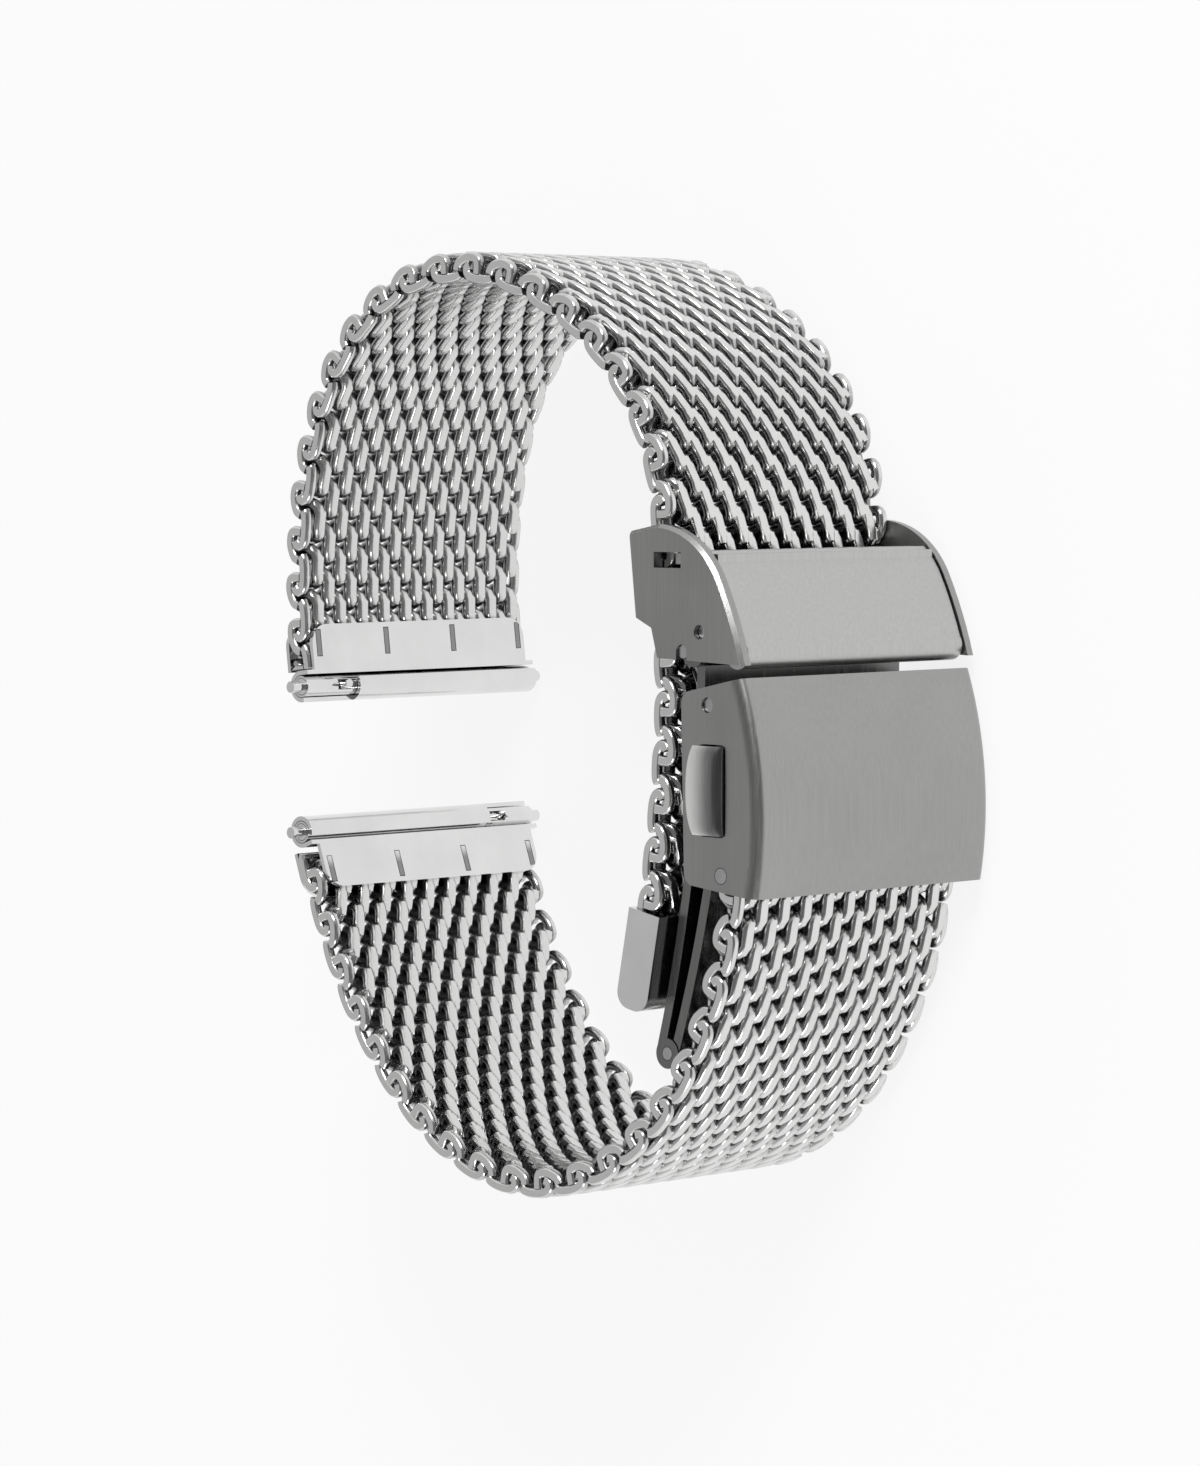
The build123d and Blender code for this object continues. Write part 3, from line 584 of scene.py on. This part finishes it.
for name, outward in (("push_button_near", 1), ("push_button_far", -1)):
    low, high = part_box(name)
    tip, stem_end = (high[2], low[2]) if outward > 0 else (low[2], high[2])
    flange_face = tip - outward * button_reach
    shoulder_top = flange_face - outward * (button_sheet + shoulder_gap)
    shoulder_foot = shoulder_top - outward * shoulder_thickness
    cap_low = (low[0] + button_overlap, low[1] + button_overlap)
    cap_high = (high[0] - button_overlap, high[1] - button_overlap)
    middle = ((low[0] + high[0]) / 2, (low[1] + high[1]) / 2)
    cap = []
    for cut in range(cap_cuts + 1):
        along = math.cos(math.pi * cut / cap_cuts)
        x = middle[0] + (cap_high[0] - middle[0]) * along
        rear = cap_high[1] - rear_bow * abs(along) ** rear_bow_power
        cap.append([(x, cap_low[1], shoulder_top)]
                   + [(x, y, flange_face + outward * (button_step + z))
                      for y, z in cap_profile(along, cap_low[1], rear)]
                   + [(x, rear, shoulder_top)])
    shoulder = rounded_outline(low, high, front_corner + button_overlap,
                               back_corner + button_overlap)
    stem_y = cap_low[1] + stem_from_front
    stem_angles = [math.tau * side / stem_sides for side in range(stem_sides)]
    stem = [(middle[0] + stem_radius * math.cos(angle), stem_y + stem_radius * math.sin(angle))
            for angle in stem_angles]
    catch_x = (cap_low[0], cap_low[0] + catch_length)
    catch_y = (middle[1] - catch_width, middle[1])
    catch = [(catch_x[1], catch_y[1]), (catch_x[0], catch_y[1]), (catch_x[0], catch_y[0]),
             (catch_x[1], catch_y[0])]
    vertices, faces = closed_tubes([
        cap, prism(shoulder, shoulder_foot, shoulder_top), prism(stem, stem_end, shoulder_foot),
        prism(catch, shoulder_foot - outward * catch_drop, shoulder_foot)])
    if outward < 0:
        faces = [face[::-1] for face in faces]
    button = steel_piece(name + "_barrel", vertices, faces, button_painted_material, button_edge_angle)
    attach(button, name)
    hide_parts(name)


# Folding blades and the bracket that guides the buttons: pressed spring steel, smooth, with
# faint rolling lines along their length. The upper blade hangs on the cover, the lower one on
# the slider, and they fold at the pin between them.
blade_dark = (0.15, 0.15, 0.15)
blade_bright = (0.26, 0.26, 0.255)
blade_finish = Finish("blade_steel", metallic=1.0)
blade_lines = blade_finish.noise(per_metre=(150, 4000, 4000), detail=3.0)
blade_cloud = blade_finish.noise(per_metre=(200, 200, 200))
blade_tone = blade_cloud * 0.5 + blade_lines * 0.5
blade_material = blade_finish.set(
    base_color=blade_finish.colour(blade_tone, blade_dark, blade_bright),
    roughness=blade_lines.between(0.16, 0.34),
    normal=blade_finish.marks(blade_lines, strength=0.1))
paint(blade_material, "upper_blade", "lower_blade", "button_bracket")


# Pins of the clasp and rods of the fittings: bright steel turned across the band, with fine
# rings from the lathe. They stay in their holes in the flanges, the ears and the plates.
pin_dark = (0.38, 0.38, 0.38)
pin_bright = (0.55, 0.55, 0.55)
pin_finish = Finish("pin_steel", metallic=1.0)
pin_rings = pin_finish.noise(per_metre=(500, 500, 8000))
pin_cloud = pin_finish.noise(per_metre=(900, 900, 900))
pin_material = pin_finish.set(
    base_color=pin_finish.colour(pin_cloud, pin_dark, pin_bright),
    roughness=pin_rings.between(0.15, 0.35),
    normal=pin_finish.marks(pin_rings, strength=0.1))
paint(pin_material, "cover_hinge_pin", "strap_pin", "blade_hinge_pin", "slider_hinge_pin",
      "flap_pin", "flap_catch_pin", "upper_retaining_rod", "lower_retaining_rod")


# Springs: round steel wire wound in open coils, one behind each push button and one inside
# each spring bar.
spring_dark = (0.34, 0.34, 0.34)
spring_bright = (0.5, 0.5, 0.5)
coil_steps = 14
wire_sides = 6
button_travel = 0.6 * MM
button_coil_turns = 7
button_coil_wire = 0.16 * MM
lever_travel = 0.9 * MM
bar_coil_turns = 16
bar_coil_wire = 0.09 * MM

spring_finish = Finish("spring_steel", metallic=1.0)
spring_cloud = spring_finish.noise(per_metre=(1200, 1200, 1200))
spring_material = spring_finish.set(
    base_color=spring_finish.colour(spring_cloud, spring_dark, spring_bright),
    roughness=spring_cloud.between(0.18, 0.33))


def coil(low, high, turns, wire_radius):
    """Rings of a coil of wire that fills the space between two corners."""
    climb = high[2] - low[2] - 2 * wire_radius
    coil_radius = min(high[0] - low[0], high[1] - low[1]) / 2 - wire_radius
    foot = Vector(((low[0] + high[0]) / 2, (low[1] + high[1]) / 2, low[2] + wire_radius))
    up = Vector((0, 0, 1))
    wire_angles = [math.tau * side / wire_sides for side in range(wire_sides)]
    count = turns * coil_steps
    rings = []
    for step in range(count + 1):
        angle = math.tau * step / coil_steps
        away = Vector((math.cos(angle), math.sin(angle), 0))
        middle = foot + up * (climb * step / count) + away * coil_radius
        rings.append([middle + away * (wire_radius * math.cos(around))
                      + up * (wire_radius * math.sin(around)) for around in wire_angles])
    return rings


for name, body, joint, stop, travel, turns, wire_radius in (
        ("button_spring_near", "cover", "near_button_push", "button_bracket",
         button_travel, button_coil_turns, button_coil_wire),
        ("button_spring_far", "cover", "far_button_push", "button_bracket",
         button_travel, button_coil_turns, button_coil_wire),
        ("upper_bar_spring", "upper_bar", "upper_lever_pull", "upper_bar_fixed_pin",
         lever_travel, bar_coil_turns, bar_coil_wire),
        ("lower_bar_spring", "lower_bar", "lower_lever_pull", "lower_bar_fixed_pin",
         lever_travel, bar_coil_turns, bar_coil_wire)):
    low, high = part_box(name)
    vertices, faces = closed_tubes([coil(low, high, turns, wire_radius)])
    # The coil's rings run the other way round, so each face turns about its first corner.
    faces = [(face[0], *face[:0:-1]) for face in faces]
    spring = steel_piece(name + "_coil", vertices, faces, spring_material)
    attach(spring, body)
    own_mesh(spring)
    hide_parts(name)


# Pale sweep that the band stands on: matt card that the camera, mirrors and clear things see
# mostly as plain white, as a brightly lit sweep is, and that takes soft shadows.
floor_half = 3.0
floor_dark = (0.93, 0.93, 0.93)
floor_pale = (0.95, 0.95, 0.95)
floor_white_share = 0.84


def ray_kinds(shade):
    """1 for rays from the camera, for mirror rays and for rays through something, else 0."""
    outputs = shade.node("ShaderNodeLightPath", {}, {}).socket.node.outputs
    return [Value(shade, outputs[f"Is {kind} Ray"])
            for kind in ("Camera", "Glossy", "Transmission")]


floor_mesh = bpy.data.meshes.new("floor")
floor_mesh.from_pydata([(-floor_half, -floor_half, 0), (floor_half, -floor_half, 0),
                        (floor_half, floor_half, 0), (-floor_half, floor_half, 0)],
                       [], [(0, 1, 2, 3)])
floor = add_object("floor", floor_mesh)
floor_finish = Finish("floor", roughness=0.9)
floor_cloud = floor_finish.noise(per_metre=(3, 3, 3))
floor_mesh.materials.append(floor_finish.set(
    base_color=floor_finish.colour(floor_cloud, floor_dark, floor_pale)))
camera_ray, mirror_ray, through_ray = ray_kinds(floor_finish)
floor_white = floor_finish.node("ShaderNodeEmission", {}, {"Color": (1, 1, 1, 1),
                                                           "Strength": 1.0})
floor_mix = floor_finish.node("ShaderNodeMixShader", {}, {
    0: (camera_ray + mirror_ray + through_ray) * floor_white_share,
    1: Value(floor_finish, floor_finish.shader.outputs["BSDF"]), 2: floor_white})
floor_finish.feed(floor_finish.tree.nodes["Material Output"].inputs["Surface"], floor_mix)


# Light: a white tent all round, seen as plain white by the camera. Mirrored in the steel it is
# darker behind the camera and over the back of the loop. A soft lamp hangs at each side of the
# camera.
half_slope = 0.7071
tent_level = 0.95
camera_shade = 0.78
camera_shade_edges = (0.15, 0.9)
back_shade = 0.42
back_shade_edges = (0.6, 0.97)
matt_level = 0.55
lamp_aim = Vector((0, 0, 0.012))
lamp_size = 0.2

world = bpy.data.worlds.new("world")
bpy.context.scene.world = world
world.use_nodes = True
tent = Shade(world.node_tree)
camera_ray, mirror_ray, through_ray = ray_kinds(tent)
tent_place = tent.node("ShaderNodeTexCoord", {}, {}, "Generated")
toward_camera, toward_back = (
    tent.node("ShaderNodeVectorMath", {"operation": "DOT_PRODUCT"},
              {0: tent_place, 1: (0, slope, half_slope)}, "Value")
    for slope in (-half_slope, half_slope))
tent_light = tent_level - toward_camera.part(*camera_shade_edges) * camera_shade \
    - toward_back.part(*back_shade_edges) * back_shade
tent_strength = camera_ray + (1 - camera_ray) * (
    tent_light * mirror_ray + through_ray + (1 - mirror_ray - through_ray) * matt_level)
background = world.node_tree.nodes["Background"]
tent.feed(background.inputs["Color"], (1, 1, 1, 1))
tent.feed(background.inputs["Strength"], tent_strength)

for name, place, power in (("upper_lamp", (0.42, -0.25, 0.3), 1.6),
                           ("lower_lamp", (-0.42, -0.3, 0.25), 0.8)):
    lamp = add_object(name, bpy.data.lights.new(name, "AREA"))
    lamp.data.shape = "SQUARE"
    lamp.data.size = lamp_size
    lamp.data.energy = power
    lamp.location = place
    lamp.rotation_euler = (lamp_aim - lamp.location).to_track_quat("-Z", "Y").to_euler()
